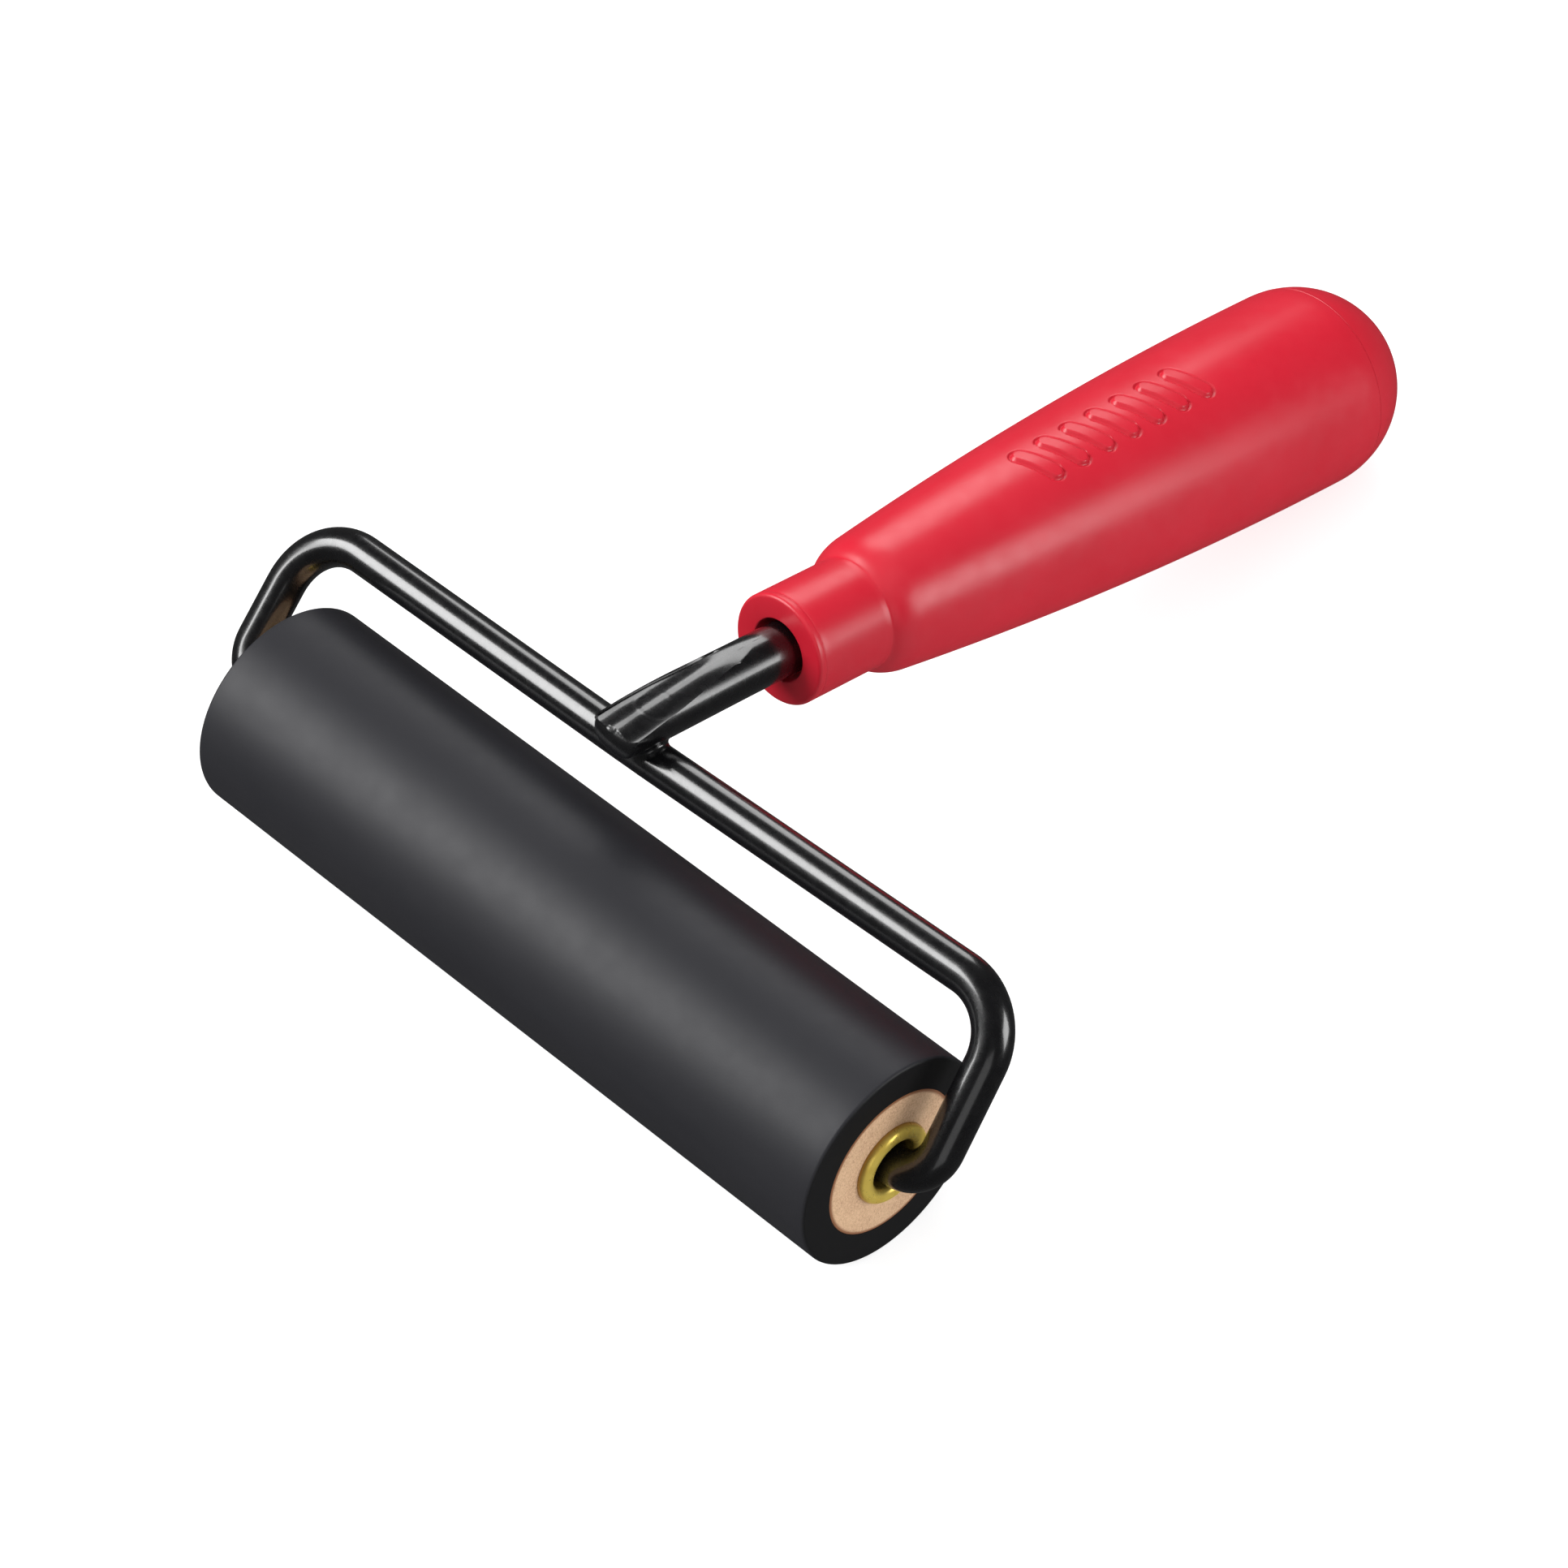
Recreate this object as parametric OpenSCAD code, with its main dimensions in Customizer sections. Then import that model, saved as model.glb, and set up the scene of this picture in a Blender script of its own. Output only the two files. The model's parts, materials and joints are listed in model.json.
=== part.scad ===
// Rubber brayer: a rubber-covered roller that turns on the ends of a bent steel
// frame, with a steel shank welded to the frame and a moulded plastic handle.
// Millimetres, +Z up. The roller and the handle's butt rest on the plane Z = 0.
// X runs along the roller, and +Y runs from the roller towards the handle's butt.

/* [Roller] */
// Length of the rubber cover
roller_length = 152.4; // [80:0.1:260]
// Outside diameter of the rubber cover
roller_diameter = 40; // [30:0.5:60]
// Diameter of the wooden core
core_diameter = 28; // [20:0.5:44]
// Rounding on the rubber cover's edges
cover_edge = 0.6; // [0.2:0.1:2]
// Distance of the roller from the middle of its end play
roller_shift = 2.5; // [-2.5:0.1:2.5]

/* [Eyelets] */
// Outside diameter of the rolled rim
rim_diameter = 15.5; // [12:0.1:20]
// Diameter of the flared mouth
mouth_diameter = 9.3; // [8:0.1:12]
// Depth of the flare, from the core's face
flare_depth = 3.2; // [1:0.1:6]
// Depth of the eyelet's barrel in the core
barrel_depth = 14; // [6:0.5:20]
// Thickness of the eyelet's wall
eyelet_wall = 0.8; // [0.4:0.1:1.5]
// Radial running clearance between the frame's stub and the eyelet
running_clearance = 0.08; // [0.02:0.01:0.1]

/* [Frame] */
// Diameter of the frame's steel rod
rod_diameter = 7.2; // [5:0.1:10]
// Distance from the roller's axis to the middle of the crossbar
leg_height = 32.2; // [28:0.1:60]
// Half distance between the legs at the roller's axis
leg_foot = 86.5; // [84:0.1:95]
// Half distance between the legs at the crossbar
leg_top = 85.2; // [80:0.1:95]
// Bend radius of the crossbar's right corner
corner_radius_right = 11.1; // [8:0.1:20]
// Bend radius of the crossbar's left corner
corner_radius_left = 13.5; // [8:0.1:20]
// Bend radius where each leg turns in to its stub
foot_radius = 6.7; // [5:0.1:10]
// How far the middle of the crossbar is set out of the plane of the legs
crossbar_bow = 2.3; // [0:0.1:5]
// How much farther the right corner is from the roller's axis than the middle
crossbar_skew = 1.3; // [-3:0.1:3]
// Length of each stub inside the core
stub_depth = 20; // [12:0.5:30]

/* [Shank] */
// Diameter of the shank
shank_diameter = 9.7; // [8:0.1:14]
// Length of the shank past the crossbar, on the roller's side
shank_nose = 7.8; // [5:0.1:15]
// Distance of the shank to the right of the middle of the crossbar
shank_shift = 0.25; // [-1:0.05:1]
// Length of the shank from the crossbar into the handle
shank_length = 122; // [60:1:150]
// Depth that the weld lets the shank into the crossbar
weld_depth = 0.95; // [0.3:0.05:2]
// Distance from the crossbar to where the pressed flat starts
flat_start = 23.4; // [10:0.1:30]
// Height of the pressed flat above the shank's axis, at the nose
flat_height = 0.5; // [0:0.1:4]
// Diameter of the round mark that the welding electrode leaves
electrode_mark = 8.4; // [5:0.1:9]

/* [Handle] */
// Slope of the handle at rest
handle_slope = 11.6; // [5:0.1:20]
// Turn of the handle to the right, away from square with the crossbar
handle_turn = 0.2; // [-2:0.1:2]
// Distance from the crossbar to the collar's face
collar_start = 31; // [25:0.5:50]
// Diameter of the collar
collar_diameter = 20.7; // [16:0.1:30]
// Length of the collar, from its face to the shoulder
collar_length = 18.4; // [8:0.1:30]
// Diameter of the grip at the shoulder
shoulder_diameter = 24.5; // [20:0.1:34]
// Length of the round of the shoulder
shoulder_length = 4.7; // [2:0.1:10]
// Largest diameter of the grip
grip_diameter = 38.2; // [30:0.1:46]
// Length of the grip, from the shoulder to the dome
grip_length = 117; // [80:1:140]
// Length of the domed butt
dome_length = 18.4; // [10:0.1:30]
// Distance from the start of the dome to the end cap's seam
seam_offset = 1.5; // [0:0.1:4]
// Wall thickness of the hollow handle
handle_wall = 3.6; // [2:0.1:6]
// Diameter of the mouth of the handle's socket
socket_mouth = 11.7; // [10:0.1:14]

/* [Raised motif] */
// Number of slanted bars
bar_count = 7; // [3:1:11]
// Distance between bars
bar_pitch = 6.4; // [4:0.1:10]
// Height of the bars
bar_relief = 0.4; // [0.2:0.1:0.8]
// Angle of the motif round the handle, from the top
motif_turn = 9; // [-30:1:30]

/* [Hidden] */
$fn = 96;
film = 0.03;                       // adhesive film or press-fit line between pieces of one body
play = 0.02;                       // line between welded pieces
over = 1;                          // how far a cutting solid runs past what it cuts
bend_neck = 0.02;                  // the rod thins by this much in radius where it is bent
lap = 0.3;                         // how far each straight run covers the end of a bend

roller_r = roller_diameter / 2;
core_r = core_diameter / 2;
rod_r = rod_diameter / 2;
shank_r = shank_diameter / 2;
collar_r = collar_diameter / 2;
grip_r = grip_diameter / 2;
shoulder_r = shoulder_diameter / 2;

// Eyelet, along its own axis with the core's face at 0 and the core below it
bearing_r = rod_r + running_clearance;
mouth_r = mouth_diameter / 2;
rim_r = (rim_diameter - mouth_diameter) / 4;
rim_centre_r = (rim_diameter + mouth_diameter) / 4;
bore_depth = stub_depth + 4;
ease_steps = 12;

// Distances along the handle's axis, from the crossbar
shoulder_start = collar_start + collar_length;
dome_start = shoulder_start + grip_length;
seam_start = dome_start + seam_offset;
butt_end = dome_start + dome_length;
tang_end = shank_length;
tube_end = tang_end + 3;
socket_r = shank_r + film;
flat_slope = atan2(shank_r - flat_height, flat_start + shank_nose);

// Frame rod. A leg's rise is how much higher its corner is than the crossbar's middle
function leg_lean(rise) = atan2(leg_foot - leg_top, leg_height + rise);
function foot_bend(rise) = 90 + leg_lean(rise);
function foot_tangent(rise) = foot_radius * tan(foot_bend(rise) / 2);
function corner_roll(rise) =
    atan2(crossbar_bow, leg_top * cos(leg_lean(rise)) + rise * sin(leg_lean(rise)));
function corner_bend(rise) =
    acos((leg_top * sin(leg_lean(rise)) - rise * cos(leg_lean(rise))) / crossbar_half);
function corner_tangent(rise, radius) = radius * tan(corner_bend(rise) / 2);
function leg_straight(rise, radius) =
    norm([leg_foot - leg_top, leg_height + rise]) - foot_tangent(rise)
        - corner_tangent(rise, radius);
crossbar_half = norm([leg_top, crossbar_skew, crossbar_bow]);
bow_angle = asin(crossbar_bow / crossbar_half);
skew_angle = atan2(crossbar_skew, leg_top);

// Rest: the tilt of the frame that sets the butt down on the plane the roller is on.
// The dome is half an ellipse, so its lowest point is known from its two radii.
axis_offset = rod_r + shank_r - weld_depth;
dome_drop = norm([dome_length * sin(handle_slope), grip_r * cos(handle_slope)]);
crossbar_rise = dome_drop + dome_start * sin(handle_slope)
    - axis_offset * cos(handle_slope) - roller_r;
crossbar_reach = norm([leg_height, crossbar_bow]);
frame_tilt = asin(crossbar_rise / crossbar_reach) - atan2(crossbar_bow, leg_height);
crossbar_y = leg_height * cos(frame_tilt) - crossbar_bow * sin(frame_tilt);
crossbar_z = roller_r + crossbar_rise;

// The origin's Y is midway between the roller's front and the butt's tip
butt_tip = crossbar_y + axis_offset * sin(handle_slope) + dome_start * cos(handle_slope)
    + norm([dome_length * cos(handle_slope), grip_r * sin(handle_slope)]);
roller_y = (roller_r - butt_tip) / 2;

// Radius of the grip at distance s along the handle's axis
function grip_radius(s) =
    grip_r - (grip_r - shoulder_r) * pow((dome_start - s) / grip_length, 2);
function round_part(s) =
    s < shoulder_start + shoulder_length
        ? sqrt(1 - pow(1 - (s - shoulder_start) / shoulder_length, 2))
        : 1;
function handle_radius(s) =
    s <= shoulder_start ? collar_r
        : s >= dome_start ? grip_r * sqrt(max(0, 1 - pow((s - dome_start) / dome_length, 2)))
        : collar_r + (grip_radius(s) - collar_r) * round_part(s);

// Distances along the axis at which a profile is sampled, from a to b
function stations(a, b, count) = [for (i = [0:count]) a + (b - a) * i / count];
function grip_stations(end) = concat(
    [for (a = [0:10:90]) shoulder_start + shoulder_length * (1 - cos(a))],
    [for (s = stations(shoulder_start + shoulder_length, end, 36)) if (s > shoulder_start + shoulder_length) s]);
function dome_stations(start) =
    let (first = asin((start - dome_start) / dome_length))
    [for (i = [0:18]) dome_start + dome_length * sin(first + (90 - first) * i / 18)];
function profile(list, extra) = [for (s = list) [handle_radius(s) + extra, s]];

// Flare of the eyelet: radius of its inside at depth d below the core's face
function flare_radius(d) =
    d >= flare_depth ? bearing_r
        : bearing_r + (mouth_r - bearing_r) * (1 + cos(180 * d / flare_depth)) / 2;

// Places children that are drawn about the roller's own axis
module on_roller_axis() {
    translate([0, roller_y, roller_r]) children();
}

// Places children that are drawn in the plane of the legs, with 0 on the roller's axis
module on_frame_plane() {
    on_roller_axis()
        rotate([frame_tilt, 0, 0])
            children();
}

// Places children drawn along +Z on the handle's axis, with 0 beside the crossbar
module on_handle_axis() {
    translate([0, roller_y + crossbar_y, crossbar_z])
        rotate([-handle_slope, 0, 0])
            translate([shank_shift, 0, axis_offset])
                rotate([0, 0, -handle_turn])
                    rotate([-90, 0, 0])
                        children();
}

// Places children drawn along +Z at one end of the roller; side is 1 or -1
module on_roller_end(side) {
    translate([roller_shift + side * roller_length / 2, roller_y, roller_r])
        rotate([0, side * 90, 0])
            children();
}

// A cylinder with rounded edges, along +Z
module rounded_rod(r, length, edge) {
    rotate_extrude()
        polygon(concat(
            [[0, 0]],
            [for (a = [0:15:90]) [r - edge + edge * sin(a), edge - edge * cos(a)]],
            [for (a = [0:15:90]) [r - edge + edge * cos(a), length - edge + edge * sin(a)]],
            [[0, length]]));
}

module roller_cover() {
    color([0.13, 0.13, 0.14])
        translate([roller_shift - roller_length / 2, roller_y, roller_r])
            rotate([0, 90, 0])
                difference() {
                    rounded_rod(roller_r, roller_length, cover_edge);
                    translate([0, 0, -over])
                        cylinder(r = core_r + film, h = roller_length + 2 * over);
                }
}

module roller_core() {
    color([0.78, 0.6, 0.46])
        difference() {
            translate([roller_shift - roller_length / 2, roller_y, roller_r])
                rotate([0, 90, 0])
                    cylinder(r = core_r, h = roller_length);
            for (side = [-1, 1])
                on_roller_end(side)
                    eyelet_seat();
        }
}

// The hole drilled in the core: flared for the eyelet, then straight for the stub
module eyelet_seat() {
    depths = stations(0, flare_depth, ease_steps);
    wall = eyelet_wall + film;
    rotate_extrude()
        polygon(concat(
            [[0, over], [flare_radius(0) + wall, over]],
            [for (d = depths) [flare_radius(d) + wall, -d]],
            [[bearing_r + wall, -bore_depth], [0, -bore_depth]]));
}

// A brass eyelet: a rolled rim on the core's face and a flared barrel in the core
module eyelet() {
    depths = stations(0, flare_depth, ease_steps);
    color([0.8, 0.64, 0.2])
        rotate_extrude()
            polygon(concat(
                [for (i = [ease_steps:-1:0]) [flare_radius(depths[i]), -depths[i]]],
                [for (a = [170:-10:0]) [rim_centre_r + rim_r * cos(a), film + rim_r * sin(a)]],
                [[mouth_r + eyelet_wall, film]],
                [for (d = depths) [flare_radius(d) + eyelet_wall, -d]],
                [[bearing_r + eyelet_wall, -barrel_depth], [bearing_r, -barrel_depth]]));
}

module eyelet_left() {
    on_roller_end(-1) eyelet();
}

module eyelet_right() {
    on_roller_end(1) eyelet();
}

// A straight length of frame rod, along +X, that laps over the bends at its ends
module rod_run(start, end) {
    translate([start, 0, 0])
        rotate([0, 90, 0])
            cylinder(r = rod_r, h = end - start);
}

// A bend that starts along +X and turns towards +Y; children start where it ends
module rod_bend(radius, angle) {
    translate([0, radius, 0])
        rotate([0, 0, -90])
            rotate_extrude(angle = angle)
                translate([radius, 0])
                    circle(r = rod_r - bend_neck);
    translate([radius * sin(angle), radius * (1 - cos(angle)), 0])
        rotate([0, 0, angle])
            children();
}

// A stub in the core, its leg and the corner that turns in to the crossbar
module leg(rise, corner_radius) {
    bend_start = leg_foot - foot_tangent(rise);
    straight = leg_straight(rise, corner_radius);
    rod_run(roller_length / 2 - stub_depth, bend_start + lap);
    translate([bend_start, 0, 0])
        rod_bend(foot_radius, foot_bend(rise)) {
            rod_run(-lap, straight + lap);
            translate([straight, 0, 0])
                rotate([corner_roll(rise), 0, 0])
                    rod_bend(corner_radius, corner_bend(rise));
        }
}

// Half of the crossbar, from a mitre at its middle, drawn fatter by extra
module crossbar_side(length, extra) {
    difference() {
        rotate([0, bow_angle, 0])
            rotate([0, 90, 0])
                translate([0, 0, -over])
                    cylinder(r = rod_r + extra, h = length + over);
        translate([-rod_diameter, -rod_diameter, -rod_diameter])
            cube([rod_diameter, 2 * rod_diameter, 2 * rod_diameter]);
    }
}

// The crossbar out to a length on each side of its middle
module crossbar(right, left, extra) {
    on_frame_plane()
        translate([0, leg_height, crossbar_bow])
            rotate([0, 0, skew_angle]) {
                crossbar_side(right, extra);
                mirror([1, 0, 0]) crossbar_side(left, extra);
            }
}

module yoke_frame() {
    right = crossbar_half - corner_tangent(crossbar_skew, corner_radius_right) + lap;
    left = crossbar_half - corner_tangent(-crossbar_skew, corner_radius_left) + lap;
    color([0.05, 0.05, 0.055]) {
        on_frame_plane() leg(crossbar_skew, corner_radius_right);
        on_frame_plane() mirror([1, 0, 0]) leg(-crossbar_skew, corner_radius_left);
        crossbar(right, left, 0);
    }
}

// The part of the crossbar that the shank is welded to, drawn fatter by extra
module crossbar_middle(extra) {
    crossbar(shank_diameter * 2, shank_diameter * 2, extra);
}

// The shank's own round bar with its pressed flat, drawn fatter by extra
module shank_bar(extra) {
    r = shank_r + extra;
    nose_edge = 1.6;
    on_handle_axis()
        difference() {
            rotate_extrude()
                polygon(concat(
                    [[0, -shank_nose - extra]],
                    [for (a = [0:15:90]) [r - nose_edge + nose_edge * sin(a),
                                          nose_edge - nose_edge * cos(a) - shank_nose - extra]],
                    [[r, tang_end - 1], [r - 1, tang_end], [0, tang_end]]));
            translate([0, -shank_r - extra, flat_start])
                rotate([flat_slope, 0, 0])
                    translate([-shank_diameter, -shank_diameter, -shank_diameter * 6])
                        cube([shank_diameter * 2, shank_diameter, shank_diameter * 6]);
        }
}

// The rings cut in the shank where the handle grips it
module tang_grooves() {
    groove = 0.6;
    for (s = [shoulder_start + 10:12:tang_end - 12])
        on_handle_axis()
            translate([0, 0, s])
                rotate_extrude()
                    translate([shank_r, 0])
                        rotate(45)
                            square(groove * sqrt(2), center = true);
}

// The shallow dish that the welding electrode presses in the flat
module electrode_dish() {
    depth = 0.35;
    dish_r = (pow(electrode_mark / 2, 2) + depth * depth) / (2 * depth);
    dish_s = 1.5;
    dish_h = flat_height + (shank_nose + dish_s) * tan(flat_slope);
    on_handle_axis()
        translate([0, -dish_h, dish_s])
            rotate([flat_slope, 0, 0])
                translate([0, -dish_r + depth, 0])
                    sphere(r = dish_r);
}

module shank() {
    color([0.05, 0.05, 0.055])
        difference() {
            shank_bar(0);
            crossbar_middle(play);
            tang_grooves();
            electrode_dish();
        }
}

// Metal squeezed out of the weld, in the corner between the shank and the crossbar
module weld_flash() {
    flash_r = shank_r * 0.86;
    flash_height = 2.6;
    color([0.06, 0.06, 0.065])
        difference() {
            on_handle_axis()
                translate([0, shank_r - weld_depth / 2, 0])
                    rotate([90, 0, 0])
                        translate([0, 0, -flash_height / 2])
                            cylinder(r = flash_r, h = flash_height);
            crossbar_middle(play);
            shank_bar(play);
        }
}

// The handle's outside from the collar's face to the seam, made fatter by extra
module handle_outside(extra) {
    edge = 0.8;
    rotate_extrude()
        polygon(concat(
            [[0, collar_start]],
            [for (a = [0:15:90]) [collar_r - edge + edge * sin(a) + extra,
                                  collar_start + edge - edge * cos(a)]],
            profile(grip_stations(seam_start), extra),
            [[0, seam_start]]));
}

// The hollow inside the handle, open at the seam
module handle_hollow() {
    front = shoulder_start + 12;
    list = [for (s = stations(front, seam_start, 24)) [handle_radius(s) - handle_wall, s]];
    rotate_extrude()
        polygon(concat([[0, front]], list, [[list[len(list) - 1][0], seam_start + over], [0, seam_start + over]]));
}

// The tube round the tang and the ribs that carry it
module tang_tube() {
    tube_r = socket_r + 3;
    rib = 2.4;
    intersection() {
        handle_outside(-handle_wall / 2);
        union() {
            translate([0, 0, shoulder_start]) cylinder(r = tube_r, h = tube_end - shoulder_start);
            for (turn = [0, 90])
                rotate([0, 0, turn])
                    translate([-grip_r, -rib / 2, shoulder_start])
                        cube([grip_diameter, rib, tube_end - shoulder_start - 6]);
        }
    }
}

// Slanted bars that stand on the top of the grip, in a row along it
module raised_motif() {
    bar_width = 2.4;
    bar_height = 7.6;
    slant = 24;
    middle = shoulder_start + 60;
    intersection() {
        handle_outside(bar_relief);
        rotate([0, 0, motif_turn])
            translate([0, 0, middle])
                rotate([90, 0, 0])
                    for (i = [0:bar_count - 1])
                        translate([0, (i - (bar_count - 1) / 2) * bar_pitch, 0])
                            rotate(slant)
                                linear_extrude(grip_diameter)
                                    bar_outline(bar_height, bar_width);
    }
}

// A flat bar with round ends, long in X
module bar_outline(length, width) {
    square([length - width, width], center = true);
    for (side = [-1, 1])
        translate([side * (length - width) / 2, 0]) circle(d = width);
}

module handle_body() {
    mouth_depth = 4;
    color([0.78, 0.06, 0.1])
        on_handle_axis()
            difference() {
                union() {
                    difference() {
                        handle_outside(0);
                        handle_hollow();
                    }
                    tang_tube();
                    raised_motif();
                }
                translate([0, 0, collar_start - over])
                    cylinder(r = socket_r, h = tube_end - collar_start + 2 * over);
                translate([0, 0, collar_start - over])
                    cylinder(d = socket_mouth, h = mouth_depth + over);
            }
}

module handle_end_cap() {
    spigot = 7;
    spigot_r = handle_radius(seam_start) - handle_wall - film;
    hollow = 0.72;
    color([0.78, 0.06, 0.1])
        on_handle_axis()
            difference() {
                union() {
                    translate([0, 0, film])
                        rotate_extrude()
                            polygon(concat([[0, seam_start]], profile(dome_stations(seam_start), 0)));
                    translate([0, 0, seam_start - spigot]) cylinder(r = spigot_r, h = spigot + over);
                }
                translate([0, 0, seam_start - spigot - over])
                    cylinder(r = spigot_r - 2.4, h = spigot + over + dome_length * hollow * 0.5);
            }
}

roller_cover();
roller_core();
eyelet_left();
eyelet_right();
yoke_frame();
shank();
weld_flash();
handle_body();
handle_end_cap();
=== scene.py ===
"""Rubber brayer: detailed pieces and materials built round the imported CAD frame."""

import json
import math

import bmesh
import bpy
import numpy as np
from mathutils import Matrix, Quaternion, Vector, noise


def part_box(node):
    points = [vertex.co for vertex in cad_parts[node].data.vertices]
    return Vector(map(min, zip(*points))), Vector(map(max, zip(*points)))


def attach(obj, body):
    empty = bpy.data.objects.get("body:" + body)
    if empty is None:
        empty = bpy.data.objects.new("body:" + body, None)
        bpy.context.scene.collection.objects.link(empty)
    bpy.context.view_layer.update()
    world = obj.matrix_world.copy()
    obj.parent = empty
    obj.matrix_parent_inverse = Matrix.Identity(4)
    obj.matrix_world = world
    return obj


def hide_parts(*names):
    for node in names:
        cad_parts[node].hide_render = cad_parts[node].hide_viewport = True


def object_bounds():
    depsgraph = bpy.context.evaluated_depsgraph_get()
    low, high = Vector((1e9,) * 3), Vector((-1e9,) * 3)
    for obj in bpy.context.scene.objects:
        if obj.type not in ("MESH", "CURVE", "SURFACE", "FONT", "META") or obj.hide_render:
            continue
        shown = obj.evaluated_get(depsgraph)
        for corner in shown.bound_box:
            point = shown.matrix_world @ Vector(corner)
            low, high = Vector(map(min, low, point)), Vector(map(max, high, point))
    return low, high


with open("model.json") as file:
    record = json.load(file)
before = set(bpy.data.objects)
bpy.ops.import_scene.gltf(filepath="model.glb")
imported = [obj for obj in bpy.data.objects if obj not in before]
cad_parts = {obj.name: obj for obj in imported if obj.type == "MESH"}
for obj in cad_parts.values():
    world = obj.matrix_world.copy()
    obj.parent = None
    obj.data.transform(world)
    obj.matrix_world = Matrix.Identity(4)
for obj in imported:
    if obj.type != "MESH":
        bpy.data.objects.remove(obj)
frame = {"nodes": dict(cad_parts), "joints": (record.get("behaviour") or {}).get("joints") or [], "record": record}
cad_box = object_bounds()

MM = 0.001
UP = Vector((0, 0, 1))
ALONG_ROLLER = Vector((1, 0, 0))
ROLLER_BODY = "roller"
FRAME_BODY = "frame_and_handle"


# ------------------------------------------------------- places and sizes, from the frame

def node_points(node):
    """A CAD node's vertices in the row frame, as an array."""
    mesh = frame["nodes"][node].data
    points = np.empty(len(mesh.vertices) * 3)
    mesh.vertices.foreach_get("co", points)
    return points.reshape(-1, 3)


def axis_frame(origin, direction, up):
    """The matrix of a local frame: Z along direction, Y near up."""
    z = Vector(direction).normalized()
    y = (Vector(up) - z * Vector(up).dot(z)).normalized()
    turn = Matrix((y.cross(z), y, z)).transposed().to_4x4()
    return Matrix.Translation(origin) @ turn


def stations(matrix, points):
    """How far row-frame points are along a local frame's Z axis, and away from it."""
    back = np.array(matrix.inverted())
    local = points @ back[:3, :3].T + back[:3, 3]
    return local[:, 2], np.hypot(local[:, 0], local[:, 1])


mounts = {mount["name"]: mount for mount in frame["record"]["mounts"]}
axle = Vector(frame["joints"][0]["pos_m"]) * Vector((0, 1, 1))
grip_point, grip_axis = (Vector(mounts["grip"][key]) for key in ("pos_m", "axis"))
grip_axis.normalize()

# Roller, along its own axis with 0 in the middle of its length
cover_low, cover_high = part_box("roller_cover")
core_low, core_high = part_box("roller_core")
roller_axes = axis_frame((cover_low + cover_high) / 2, ALONG_ROLLER, UP)
COVER_R = (cover_high.z - cover_low.z) / 2
CORE_R = (core_high.z - core_low.z) / 2
ROLLER_HALF = (cover_high.x - cover_low.x) / 2
FILM = 0.03 * MM  # between a piece and the hole that it is pressed in

# Frame rod: where the middle of the crossbar is, and the line of the legs
CROSSBAR_BOW = 2.3 * MM
yoke_points = node_points("yoke_frame")
mitre = yoke_points[np.abs(yoke_points[:, 0]) < 0.2 * MM]
crossbar_mid = Vector((mitre.min(axis=0) + mitre.max(axis=0)) / 2)
ROD_R = np.ptp(mitre[:, 1]) / 2
leg_axis = (crossbar_mid - axle).normalized()
lean_to_crossbar = math.asin(CROSSBAR_BOW / (crossbar_mid - axle).length)
leg_axis.rotate(Quaternion(ALONG_ROLLER, -lean_to_crossbar))
leg_normal = ALONG_ROLLER.cross(leg_axis)
LEG_HEIGHT = (crossbar_mid - axle).dot(leg_axis)
stub_s, stub_r = stations(axis_frame(axle, ALONG_ROLLER, UP), yoke_points)
STUB_START = np.abs(stub_s[stub_r < CORE_R]).min()

# Eyelets, pressed into the core's ends
EYELET_RUNNING_GAP = 0.08 * MM
EYELET_WALL = 0.8 * MM
EYELET_FLARE = 3.2 * MM
EYELET_BARREL = 14 * MM
eyelet_low, eyelet_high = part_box("eyelet_right")
RIM_OUTER_R = (eyelet_high.z - eyelet_low.z) / 2
RIM_R = eyelet_high.x - cover_high.x - FILM
MOUTH_R = RIM_OUTER_R - 2 * RIM_R
BEARING_R = ROD_R + EYELET_RUNNING_GAP

# Handle and shank, with 0 beside the crossbar
reach = (crossbar_mid - grip_point).dot(grip_axis)
handle_axes = axis_frame(grip_point + grip_axis * reach, grip_axis, UP)
crossbar_local = handle_axes.inverted() @ crossbar_mid
shank_s, shank_r = stations(handle_axes, node_points("shank"))
body_s, body_r = stations(handle_axes, node_points("handle_body"))
SHANK_R = shank_r.max()
NOSE_S = shank_s.min()
TANG_S = shank_s.max()
COLLAR_S = body_s.min()
SEAM_S = body_s.max()
BUTT_S = stations(handle_axes, node_points("handle_end_cap"))[0].max()
GRIP_R = body_r.max()
DOME_S = body_s[body_r.argmax()]
COLLAR_R = body_r[body_s < COLLAR_S + 5 * MM].max()
SHOULDER_S = body_s[(body_r > COLLAR_R + 0.02 * MM)].min()


# ------------------------------------------------------------------------- mesh helpers

def smooth_step(x):
    """0 below 0, 1 above 1 and smooth between."""
    x = np.clip(x, 0, 1)
    return x * x * (3 - 2 * x)


def soft_max(a, b, width):
    """The larger of a and b, rounded where they are within width of each other."""
    near = np.clip(0.5 + 0.5 * (a - b) / width, 0, 1)
    return b + (a - b) * near + width * near * (1 - near)


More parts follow.
